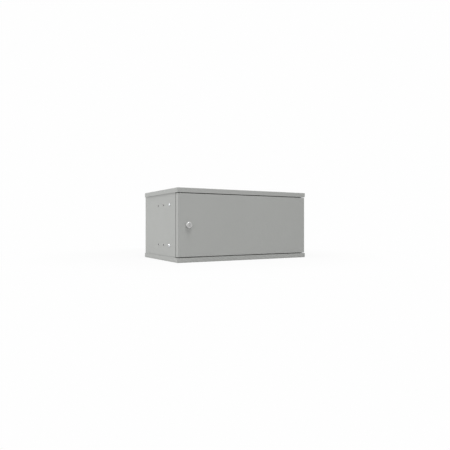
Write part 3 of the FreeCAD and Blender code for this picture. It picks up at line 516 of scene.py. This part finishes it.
def coil(name, section, section_sides, radius, runs, steps):
    """Winds a section about the Z axis: each run is a start height, a pitch and its turns."""
    parts = []
    for low, pitch, turns in runs:
        deselect_all()
        bpy.ops.mesh.primitive_circle_add(vertices=section_sides, radius=section,
                                          location=(radius, 0, low),
                                          rotation=(math.pi / 2, 0, 0), fill_type="NOTHING")
        part = started(name)
        screw = part.modifiers.new("wind", "SCREW")
        screw.axis = "Z"
        screw.screw_offset = pitch
        screw.iterations = turns
        screw.steps = screw.render_steps = steps
        bpy.ops.object.modifier_apply(modifier=screw.name)
        parts.append(part)
    piece = joined(name, parts)
    bpy.ops.object.mode_set(mode="EDIT")
    bpy.ops.mesh.select_all(action="SELECT")
    bpy.ops.mesh.remove_doubles(threshold=section / 50)
    bpy.ops.mesh.select_all(action="DESELECT")
    bpy.ops.mesh.select_non_manifold()
    bpy.ops.mesh.edge_face_add()
    face_outwards()
    return piece


def joined(name, parts):
    """Joins the parts into one piece."""
    deselect_all()
    for part in parts:
        part.select_set(True)
    bpy.context.view_layer.objects.active = parts[0]
    if len(parts) > 1:
        bpy.ops.object.join()
    parts[0].name = parts[0].data.name = name
    return parts[0]


def cut(piece, tool, operation="DIFFERENCE"):
    """Cuts the piece with a tool piece, which is used up."""
    take(piece)
    step = piece.modifiers.new("cut", "BOOLEAN")
    step.operation = operation
    step.object = tool
    step.solver = "EXACT"
    bpy.ops.object.modifier_apply(modifier=step.name)
    bpy.data.objects.remove(tool)


def slice_off(piece, point, outward):
    """Cuts off what lies beyond a plane and closes the cut."""
    take(piece)
    bpy.ops.object.mode_set(mode="EDIT")
    bpy.ops.mesh.select_all(action="SELECT")
    bpy.ops.mesh.bisect(plane_co=point, plane_no=outward, use_fill=True, clear_outer=True)
    bpy.ops.object.mode_set(mode="OBJECT")


def hexagon(name, flats, low, high):
    """A hexagonal bar with chamfered corners at both ends, as a nut has."""
    deselect_all()
    corner = flats / math.sqrt(3)
    bpy.ops.mesh.primitive_cylinder_add(vertices=6, radius=corner, depth=high - low,
                                        location=(0, 0, (low + high) / 2))
    bar = started(name)
    chamfer = (corner - flats / 2) * 0.62
    outside = corner * 1.02
    lens = turned("chamfer", [(flats / 2, low), (outside, low + chamfer),
                              (outside, high - chamfer), (flats / 2, high)])
    cut(bar, lens, "INTERSECT")
    return bar


def cross_recess(piece, top, arm, width, depth):
    """Sinks a cross for the driver into a head, half as wide at its bottom."""
    for heading in (0, math.pi / 2):
        deselect_all()
        bpy.ops.mesh.primitive_cube_add(size=1, location=(0, 0, top - depth / 2),
                                        rotation=(0, 0, heading), scale=(2 * arm, width, depth))
        blade = started("blade")
        bpy.ops.object.mode_set(mode="EDIT")
        select_parts(blade, "faces", lambda face: face.normal.z < -0.9)
        bpy.ops.transform.resize(value=(0.5, 0.5, 1))
        select_parts(blade, "faces", lambda face: face.normal.z > 0.9)
        bpy.ops.transform.translate(value=(0, 0, depth / 4))
        bpy.ops.object.mode_set(mode="OBJECT")
        cut(piece, blade)


def set_copies(name, master, seats):
    """Copies of a master, each with its Z axis along its seat's direction, as one piece."""
    copies = []
    for place, direction in seats:
        take(master)
        bpy.ops.object.duplicate()
        copy = bpy.context.object
        copy.rotation_mode = "QUATERNION"
        copy.rotation_quaternion = UP.rotation_difference(Vector(direction))
        copy.location = place
        settle()
        copies.append(copy)
    return joined(name, copies)


def finish_piece(piece, nodes, body, material):
    """Gives a new piece its finish, its body and the nodes that it stands for."""
    piece.data.materials.clear()
    piece.data.materials.append(material)
    take(piece)
    bpy.ops.object.shade_smooth_by_angle(angle=SMOOTH_BELOW)
    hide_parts(*nodes)
    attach(piece, body)


def body_of(node):
    """The moving body that a node belongs to."""
    bodies = frame["record"]["behaviour"]["bodies"]
    return [body for body, nodes in bodies.items() if node in nodes][0]


def seats_of(node, across, outward):
    """Seats of a node's like fasteners, found from the corners of its box.

    across is the width of one fastener and outward the direction that it points in."""
    low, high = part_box(node)
    ends = []
    for axis in range(3):
        if outward[axis]:
            ends.append([low[axis] if outward[axis] > 0 else high[axis]])
        elif high[axis] - low[axis] > 1.5 * across:
            ends.append([low[axis] + across / 2, high[axis] - across / 2])
        else:
            ends.append([(low[axis] + high[axis]) / 2])
    return [((x, y, z), outward) for x in ends[0] for y in ends[1] for z in ends[2]]


def seats_on(plate, node, across, outward):
    """Seats of a node's like screws, their heads on the face of a plate that looks outward."""
    low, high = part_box(plate)
    face = high if max(outward) > 0 else low
    return [([face[axis] if outward[axis] else place[axis] for axis in range(3)], outward)
            for place, _ in seats_of(node, across, outward)]


def depth_between(node, plate, outward):
    """How far a node's box reaches out of the face of a plate, and how far in behind it."""
    axis = [bool(part) for part in outward].index(True)
    (low, high), (plate_low, plate_high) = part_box(node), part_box(plate)
    if outward[axis] > 0:
        return high[axis] - plate_high[axis], plate_high[axis] - low[axis]
    return plate_low[axis] - low[axis], high[axis] - plate_low[axis]


# ---------------------------------------------------------------- sheet pieces

PAINTED = ("top_cover", "bottom_cover", "left_side_panel", "right_side_panel", "back_panel", "door",
           "top_entry_plate", "bottom_entry_plate", "upper_hinge_bracket", "lower_hinge_bracket",
           "upper_pin_bracket", "lower_pin_bracket")
# pieces that get painted shade along the seam beside the door
SEAMED = ("door", "left_side_panel", "right_side_panel")
NO_SEAM = (1, 1)  # a seam a metre away, where no piece is
PLATED = ("left_rack_rail", "right_rack_rail", "upper_hinge_pin", "lower_hinge_pin", "lock_cam",
          "lock_washer", "cam_washer", "body_earth_washer", "door_earth_washer", "upper_pin_clip",
          "lower_pin_clip")


def coat(node, material):
    """Puts a material on every slot of a node."""
    for slot in frame["nodes"][node].material_slots:
        slot.material = material


class CABINET_OT_powder_coat(bpy.types.Operator):
    """Powder coats the folded sheet pieces"""
    bl_idname = "cabinet.powder_coat"
    bl_label = "Powder coat"

    def execute(self, context):
        door_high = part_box("door")[1]
        seam = (door_high.x, (door_high.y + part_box("left_side_panel")[0].y) / 2)
        for number, node in enumerate(PAINTED):
            shift = (0.37 * number, 0.21 * number, 0.13)
            coat(node, powder_coat(node + "_paint", shift, seam if node in SEAMED else NO_SEAM))
        return {"FINISHED"}


class CABINET_OT_zinc_plate(bpy.types.Operator):
    """Zinc plates the rails, pins, cam and washers"""
    bl_idname = "cabinet.zinc_plate"
    bl_label = "Zinc plate"

    def execute(self, context):
        for number, node in enumerate(PLATED):
            shift = (0.11 * number, 0.07, 0.19 * number)
            rolled = ROLLED_UPRIGHT if "rail" in node else None
            coat(node, zinc_plate(node + "_zinc", shift, rolled=rolled))
        return {"FINISHED"}


# ---------------------------------------------------------------- lock

def on_lock(piece):
    """Turns a piece made about the Z axis to face out of the door, on the lock's axis."""
    low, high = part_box("lock_body")
    take(piece)
    piece.rotation_euler = (math.pi / 2, 0, 0)
    piece.location = ((low.x + high.x) / 2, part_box("door")[0].y, (low.z + high.z) / 2)
    settle()
    return piece


def reach_of(node):
    """How far a node reaches behind the door's face, and how far out of it."""
    low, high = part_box(node)
    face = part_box("door")[0].y
    return high.y - face, face - low.y


class CABINET_OT_lock_housing(bpy.types.Operator):
    """Makes the round lock head with its threaded and flatted barrel"""
    bl_idname = "cabinet.lock_housing"
    bl_label = "Lock housing"

    def execute(self, context):
        look = context.scene.cabinet_lock
        drop, rise = reach_of("lock_body")
        bore = look.core_across / 2 + CORE_PLAY
        head = look.head_across / 2
        thread_depth = 0.45 * MM
        barrel = look.barrel_across / 2 - thread_depth
        rim = look.rim_radius
        groove = look.face_ring / 2
        groove_depth = 0.12 * MM
        bevel, lead, lip = 0.4 * MM, 0.5 * MM, 0.2 * MM
        profile = [(bore, -drop), (barrel - lead, -drop), (barrel, lead - drop), (barrel, 0),
                   (head - bevel, 0), (head, bevel)]
        profile += arc(head - rim, rise - rim, rim, 0, 90, 8)
        profile += [(groove + bevel, rise), (groove, rise - groove_depth), (groove - bevel, rise),
                    (bore + lip, rise), (bore, rise - lip)]
        housing = turned("lock_housing", profile, 72, ring=True)
        pitch = look.barrel_pitch
        tip, unthreaded = 1.6 * MM, 3 * MM  # barrel without thread, at its tip and in all
        turns = int((drop - unthreaded) / pitch)
        winding = coil("barrel_thread", 0.62 * pitch, 3, barrel - 0.1 * MM,
                       [(tip - drop, pitch, turns)], 48)
        for side in (-1, 1):
            slice_off(winding, (0, side * look.barrel_flats / 2, 0), (0, side, 0))
        piece = on_lock(joined("lock_housing", [housing, winding]))
        nickel = context.scene.cabinet_metal.nickel
        finish_piece(piece, ["lock_body"], "door",
                     turned_metal("satin_nickel", nickel, 0.42, metal=0.6))
        return {"FINISHED"}


class CABINET_OT_lock_core(bpy.types.Operator):
    """Makes the turning core of the lock with its key slot"""
    bl_idname = "cabinet.lock_core"
    bl_label = "Lock core"

    def execute(self, context):
        look = context.scene.cabinet_lock
        drop, face = reach_of("lock_rotor")
        tail, shoulder = -drop, reach_of("lock_cam")[1]
        radius = look.core_across / 2
        bevel = 0.45 * MM
        dish = 0.3 * MM
        core = turned("lock_core", [(radius - bevel, shoulder), (radius, shoulder + bevel),
                                    (radius, face - bevel), (radius - bevel, face),
                                    (radius - 3 * bevel, face),
                                    (radius - 3.4 * bevel, face - dish)], 72)
        square = look.core_square
        bpy.ops.mesh.primitive_cube_add(size=1, location=(0, 0, (tail + shoulder + bevel) / 2),
                                        scale=(square, square, shoulder + bevel - tail))
        core = joined("lock_core", [core, started("square_post")])
        cut(core, key_slot(look.key_length, look.key_width, face, look.key_depth))
        slit_width, slit_depth = 0.3 * MM, 11 * MM  # through the dust shutter, behind the slot
        cut(core, key_slot(look.key_length - MM, slit_width, face, slit_depth))
        finish_piece(on_lock(core), ["lock_rotor"], "lock_plug",
                     turned_metal("turned_core", context.scene.cabinet_metal.core, 0.5))
        return {"FINISHED"}


def key_slot(long, wide, face, deep):
    """The tool that cuts a round-ended upright slot into the core, down from its face."""
    deselect_all()
    bpy.ops.mesh.primitive_cylinder_add(vertices=24, radius=wide / 2, depth=deep + MM,
                                        location=(0, 0, face + (MM - deep) / 2))
    slot = started("key_slot")
    bpy.ops.object.mode_set(mode="EDIT")
    for side in (-1, 1):
        select_parts(slot, "verts", lambda vertex: vertex.co.y * side > 0.01 * wide)
        bpy.ops.transform.translate(value=(0, side * (long - wide) / 2, 0))
    bpy.ops.object.mode_set(mode="OBJECT")
    return slot


class CABINET_OT_lock_nut(bpy.types.Operator):
    """Makes the thin chamfered nut that clamps the lock to the door"""
    bl_idname = "cabinet.lock_nut"
    bl_label = "Lock nut"

    def execute(self, context):
        look = context.scene.cabinet_lock
        drop, over = reach_of("lock_nut")
        under = -drop
        nut = hexagon("lock_hex_nut", look.nut_flats, under, over)
        radius = look.barrel_across / 2 + THREAD_PLAY
        wide = radius + 0.8 * MM
        past, deep = 0.2 * MM, 0.6 * MM  # reach of the bore's chamfers out of the nut and into it
        bore = turned("bore", [(wide, under - past), (radius, under + deep),
                               (radius, over - deep), (wide, over + past)], 64)
        cut(nut, bore)
        finish_piece(on_lock(nut), ["lock_nut"], "door", zinc_plate("lock_nut_zinc"))
        return {"FINISHED"}


# ---------------------------------------------------------------- fasteners

# A pan head from its seat over the dome to the recess: shares of its radius and its height.
PAN_HEAD = ((0.97, 0), (1, 0.16), (1, 0.34), (0.97, 0.55), (0.89, 0.76), (0.74, 0.91),
            (0.5, 0.985), (0.12, 1))
# Each set of screws: the piece, its node, the plate that it is seated on and the way it faces.
RAIL_SCREWS = (("left_pan_head_screws", "left_rail_screws", "left_side_panel", (-1, 0, 0)),
               ("right_pan_head_screws", "right_rail_screws", "right_side_panel", (1, 0, 0)))
PLATE_SCREWS = (("top_plate_screws", "top_entry_screws", "top_entry_plate", (0, 0, -1)),
                ("bottom_plate_screws", "bottom_entry_screws", "bottom_entry_plate", (0, 0, 1)))
CAM_SCREWS = (("cam_pan_screw", "cam_screw", "cam_washer", (0, 1, 0)),)


def pan_screw(thread, height, under, head, recess):
    """A pan-head screw with a rolled thread and a cross recess, seated at height 0."""
    rim = head / 2
    core = thread / 2 * 0.88
    dome = [(rim * across, height * up) for across, up in PAN_HEAD]
    shank = [(core * 0.7, -under), (core, core * 0.3 - under), (core, 0)]
    body = turned("screw", shank + dome, 40)
    cross_recess(body, height, rim * 0.52, rim * 0.2, recess)
    pitch = thread / 6
    turns = max(1, int((under - core * 0.5) / pitch))
    winding = coil("thread", pitch * 0.55, 3, core - pitch * 0.05,
                   [(core * 0.35 - under, pitch, turns)], 24)
    return joined("pan_screw", [body, winding])


def flange_nut(thread, flats, flange, height):
    """A hexagon nut with a cone-shaped flange, seated at height 0."""
    hexagonal = hexagon("hexagonal", flats, 0.5 * MM, height)
    bore = thread / 2 + THREAD_PLAY
    cut(hexagonal, turned("bore", [(bore, -MM), (bore, height - 0.5 * MM),
                                   (bore + 0.8 * MM, height + 0.3 * MM)], 36))
    outer = flange / 2
    skirt = turned("skirt", [(bore, 0.15 * MM), (outer - 0.3 * MM, 0), (outer, 0.3 * MM),
                             (outer - 0.1 * MM, 0.95 * MM), (flats * 0.52, 1.8 * MM),
                             (bore, 1.8 * MM)], 48, ring=True)
    return joined("flange_nut", [hexagonal, skirt])


class CABINET_OT_screws(bpy.types.Operator):
    """Makes the rail screws, the entry plate screws and the cam screw"""
    bl_idname = "cabinet.screws"
    bl_label = "Screws"

    def execute(self, context):
        look = context.scene.cabinet_fasteners
        zinc = zinc_plate("screw_zinc", spangle=2 * MM)
        rail = (look.rail_bolt, look.rail_head, look.rail_recess)
        small = (look.small_screw, look.small_head, look.small_recess)
        for (thread, head, recess), sets in ((rail, RAIL_SCREWS), (small, PLATE_SCREWS),
                                             (small, CAM_SCREWS)):
            _, node, plate, outward = sets[0]
            master = pan_screw(thread, *depth_between(node, plate, outward), head, recess)
            for name, node, plate, outward in sets:
                piece = set_copies(name, master, seats_on(plate, node, head, outward))
                finish_piece(piece, [node], body_of(node), zinc)
            bpy.data.objects.remove(master)
        return {"FINISHED"}


class CABINET_OT_nuts(bpy.types.Operator):
    """Makes the flange nuts on the weld studs, rail screws and earth studs"""
    bl_idname = "cabinet.nuts"
    bl_label = "Flange nuts"

    def execute(self, context):
        look = context.scene.cabinet_fasteners
        zinc = zinc_plate("nut_zinc", (0.3, 0, 0), spangle=2.5 * MM)
        low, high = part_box("top_cover_nuts")
        stud = flange_nut(look.stud, look.stud_flats, look.stud_flange, high.z - low.z)
        low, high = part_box("left_rail_nuts")
        rail = flange_nut(look.rail_bolt, look.rail_flats, look.rail_flange, high.x - low.x)
        low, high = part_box("body_earth_nut")
        earth = flange_nut(look.earth_stud, look.earth_flats, look.earth_flange, high.y - low.y)
        groups = [(node, master, seats_of(node, across, outward))
                  for node, master, across, outward in (
                      ("top_cover_nuts", stud, look.stud_flange, (0, 0, -1)),
                      ("bottom_cover_nuts", stud, look.stud_flange, (0, 0, 1)),
                      ("left_rail_nuts", rail, look.rail_flange, (1, 0, 0)),
                      ("right_rail_nuts", rail, look.rail_flange, (-1, 0, 0)),
                      ("body_earth_nut", earth, look.earth_flange, (0, -1, 0)),
                      ("door_earth_nut", earth, look.earth_flange, (0, 1, 0)))]
        low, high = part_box("back_panel_nuts")
        rows = [low.z + look.stud_flange / 2, high.z - look.stud_flange / 2]
        middle = (low.y + high.y) / 2
        both_ways = [((face, middle, row), (away, 0, 0))
                     for face, away in ((low.x, 1), (high.x, -1)) for row in rows]
        groups.append(("back_panel_nuts", stud, both_ways))
        for node, master, seats in groups:
            piece = set_copies(node.replace("nut", "flange_nut"), master, seats)
            finish_piece(piece, [node], body_of(node), zinc)
        for master in (stud, rail, earth):
            bpy.data.objects.remove(master)
        return {"FINISHED"}


class CABINET_OT_springs(bpy.types.Operator):
    """Winds the two hinge springs with closed and ground end turns"""
    bl_idname = "cabinet.springs"
    bl_label = "Hinge springs"

    def execute(self, context):
        look = context.scene.cabinet_fasteners
        steel = turned_metal("spring_wire", context.scene.cabinet_metal.steel, 0.32)
        wire = look.spring_wire
        ground = 0.25 * wire
        for label in ("upper", "lower"):
            node = label + "_hinge_spring"
            low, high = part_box(node)
            radius = (high.x - low.x - wire) / 2
            long = high.z - low.z
            open_run = long - 3 * wire  # less the closed turns at both ends
            pitch = open_run / look.spring_turns
            runs = [(wire / 2, wire, 1), (1.5 * wire, pitch, look.spring_turns),
                    (1.5 * wire + open_run, wire, 1)]
            spring = coil(label + "_compression_spring", wire / 2, 10, radius, runs, 36)
            slice_off(spring, (0, 0, ground), (0, 0, -1))
            slice_off(spring, (0, 0, long - ground), (0, 0, 1))
            take(spring)
            spring.location = ((low.x + high.x) / 2, (low.y + high.y) / 2, low.z)
            settle()
            finish_piece(spring, [node], "door", steel)
            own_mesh(spring)
        return {"FINISHED"}


class CABINET_OT_bumpers(bpy.types.Operator):
    """Moulds the rubber buttons that the closed door rests on"""
    bl_idname = "cabinet.bumpers"
    bl_label = "Door bumpers"

    def execute(self, context):
        outward = (0, -1, 0)
        low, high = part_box("door_bumpers")
        radius = (high.x - low.x) / 2
        height, behind = depth_between("door_bumpers", "left_side_panel", outward)
        neck = radius * 0.44
        # from the barb behind the sheet, through its hole, to the domed head
        profile = [(neck * 0.6, -behind), (neck, -behind), (neck * 1.45, -1.25 * MM),
                   (neck, -1.2 * MM), (neck, 0), (radius * 0.94, 0), (radius, 0.35 * MM),
                   (radius, height * 0.55)]
        profile += arc(radius * 0.72, height * 0.6, height * 0.4, 20, 90, 5)
        profile.append((radius * 0.3, height))
        button = turned("button", profile, 40)
        seats = seats_on("left_side_panel", "door_bumpers", 2 * radius, outward)
        piece = set_copies("rubber_buttons", button, seats)
        finish_piece(piece, ["door_bumpers"], "cabinet",
                     moulded_rubber("bumper_rubber", context.scene.cabinet_metal.rubber))
        bpy.data.objects.remove(button)
        return {"FINISHED"}


# ---------------------------------------------------------------- stage

# Widths and lengths of the lights, and where the softboxes stand from what they light.
FRONT_WIDTH, LEFT_WIDTH, STRIP_LENGTH, TOP_LENGTH, SOFTBOX = 0.8, 0.25, 1.1, 0.7, (2, 1.6)
LEFT_SOFTBOX, FRONT_SOFTBOX = Vector((-2.3, -0.2, 0.8)), Vector((0.3, -2.5, 0.9))
FLOOR_DROP = 0.1 * MM  # keeps the floor clear of the underside
FLOOR_GREYS = ((0.49, 0.49, 0.49), (0.51, 0.51, 0.51))
# The floor turns into the white background between these distances, from this share of it.
FADE_START, FADE_END, NEAR_SHARE = 0.35, 0.9, 0.92


class CABINET_OT_stage(bpy.types.Operator):
    """Sets out the floor, the studio lights and the camera"""
    bl_idname = "cabinet.stage"
    bl_label = "Stage"

    def execute(self, context):
        look = context.scene.cabinet_stage
        low, high = cad_bounds
        middle = (low + high) / 2
        self.lay_floor(look, low.z)
        self.light_room(context.scene, look)
        door = Vector((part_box("lock_body")[0].x / 2, low.y, middle.z))
        side = Vector((low.x, middle.y, middle.z))
        for name, height, long, front, left in (
                ("strip", look.strip_height, STRIP_LENGTH, look.front_strip, look.left_strip),
                ("top", look.top_height, TOP_LENGTH, look.front_top, look.left_top)):
            lean = look.light_distance * math.cos(height)
            rise = look.light_distance * math.sin(height)
            self.add_light("front_" + name, door, Vector((0, -lean, rise)),
                           (FRONT_WIDTH, long), front)
            self.add_light("left_" + name, side, Vector((-lean, 0, rise)),
                           (LEFT_WIDTH, long), left)
        self.add_light("left_softbox", side, LEFT_SOFTBOX, SOFTBOX, look.left_softbox)
        self.add_light("front_softbox", door, FRONT_SOFTBOX, SOFTBOX, look.front_softbox)
        self.add_camera(context.scene, look)
        context.scene.view_settings.view_transform = "Standard"
        return {"FINISHED"}

    def lay_floor(self, look, level):
        """Lays a pale floor that keeps the shadow close by and fades into the background."""
        deselect_all()
        bpy.ops.mesh.primitive_plane_add(size=look.floor_width, location=(0, 0, level - FLOOR_DROP))
        floor = started("studio_floor")
        shader = Shader("white_floor")
        seen = shader.background_rays()
        glow = shader.add("ShaderNodeEmission", {"Color": WHITE, "Strength": BACKGROUND_LEVEL})
        shader.set(Base_Color=shader.blend(shader.noise(0.5, 2), *FLOOR_GREYS), Roughness=0.9)
        lit = Signal(shader, shader.surface.outputs["BSDF"])
        away = shader.add("ShaderNodeVectorMath", {0: shader.place}, operation="LENGTH")["Value"]
        white = seen * shader.step(away, FADE_START, FADE_END, low=NEAR_SHARE)
        mix = shader.add("ShaderNodeMixShader", {0: white, 1: lit, 2: glow["Emission"]})
        output = shader.tree.nodes["Material Output"]
        shader.feed(output.inputs["Surface"], mix["Shader"])
        floor.data.materials.append(shader.material)

    def light_room(self, scene, look):
        """Lights the room softly from all around and shows it as a white background."""
        world = bpy.data.worlds.new("studio_room")
        scene.world = world
        world.use_nodes = True
        room = NodeTree(world.node_tree)
        levels = {"Value": room.background_rays(), "To Min": look.room, "To Max": BACKGROUND_LEVEL}
        background = room.tree.nodes["Background"]
        room.feed(background.inputs["Strength"], room.add("ShaderNodeMapRange", levels)["Result"])
        room.feed(background.inputs["Color"], WHITE)

    def add_light(self, name, target, away, size, power):
        """Adds a rectangular light that faces its target from away."""
        deselect_all()
        bpy.ops.object.light_add(type="AREA", location=target + away)
        light = bpy.context.object
        light.name = light.data.name = name
        light.data.shape = "RECTANGLE"
        light.data.size, light.data.size_y = size
        light.data.energy = power
        light.rotation_euler = (-away).to_track_quat("-Z", "Y").to_euler()

    def add_camera(self, scene, look):
        """Sets up the level camera."""
        deselect_all()
        bpy.ops.object.camera_add(location=look.camera_place,
                                  rotation=(math.pi / 2, 0, -look.camera_heading))
        camera = bpy.context.object
        camera.name = camera.data.name = "studio_camera"
        camera.data.lens = look.lens
        camera.data.sensor_width = SENSOR_WIDTH
        scene.camera = camera


# ---------------------------------------------------------------- add-on

SETTINGS = {"cabinet_paint": PaintSettings, "cabinet_metal": MetalSettings,
            "cabinet_lock": LockSettings, "cabinet_fasteners": FastenerSettings,
            "cabinet_stage": StageSettings}
OPERATORS = (CABINET_OT_powder_coat, CABINET_OT_zinc_plate, CABINET_OT_lock_housing,
             CABINET_OT_lock_core, CABINET_OT_lock_nut, CABINET_OT_screws, CABINET_OT_nuts,
             CABINET_OT_springs, CABINET_OT_bumpers, CABINET_OT_stage)


class CABINET_PT_sidebar(bpy.types.Panel):
    """Sizes, colours and steps of the cabinet"""
    bl_idname = "CABINET_PT_sidebar"
    bl_label = "Network cabinet"
    bl_space_type = "VIEW_3D"
    bl_region_type = "UI"
    bl_category = "Cabinet"

    def draw(self, context):
        for name, group in SETTINGS.items():
            box = self.layout.box()
            for key in group.__annotations__:
                box.prop(getattr(context.scene, name), key)
        for operator in OPERATORS:
            self.layout.operator(operator.bl_idname)


CLASSES = (*SETTINGS.values(), *OPERATORS, CABINET_PT_sidebar)


def register():
    for entry in CLASSES:
        bpy.utils.register_class(entry)
    for name, group in SETTINGS.items():
        setattr(bpy.types.Scene, name, bpy.props.PointerProperty(type=group))


def unregister():
    for name in SETTINGS:
        delattr(bpy.types.Scene, name)
    for entry in reversed(CLASSES):
        bpy.utils.unregister_class(entry)


def main():
    register()
    for operator in OPERATORS:
        group, step = operator.bl_idname.split(".")
        getattr(getattr(bpy.ops, group), step)()


if __name__ == "__main__":
    main()
